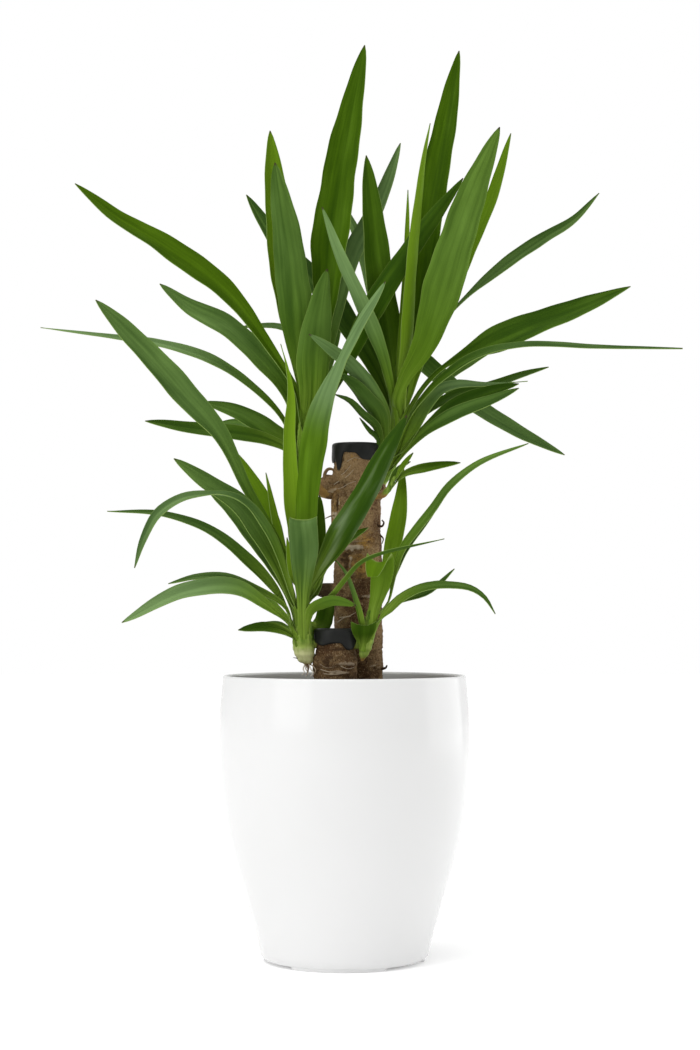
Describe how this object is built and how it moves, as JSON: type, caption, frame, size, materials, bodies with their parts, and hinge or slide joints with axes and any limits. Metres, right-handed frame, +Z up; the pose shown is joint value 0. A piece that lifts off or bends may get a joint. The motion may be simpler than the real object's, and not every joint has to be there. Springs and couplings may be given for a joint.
{
  "type": "potted yucca",
  "caption": "Houseplant with a tall and a short woody cane, each with rosettes of long pointed leaves and a black wax cap, in a round tapered glossy white pot filled with soil.",
  "frame": {"origin": "centre of the pot's foot, on the surface that the pot stands on", "axes": "+Z up along the pot's axis, -Y towards the front of the plant, +X to the right as seen from the front"},
  "size_m": [0.5146, 0.2871, 0.7311],
  "materials": {
    "pot": "gloss",
    "soil": "matte",
    "bark": "matte",
    "wax": "satin",
    "leaf": "satin"
  },
  "bodies": {
    "root": {"pot": "pot", "soil": "soil", "tall_cane": "bark", "short_cane": "bark", "tall_cane_wax": "wax", "short_cane_wax": "wax", "upper_left_head": "leaf", "upper_right_head": "leaf", "lower_left_head": "leaf", "lower_right_head": "leaf", "side_shoot": "leaf"}
  },
  "joints": []
}
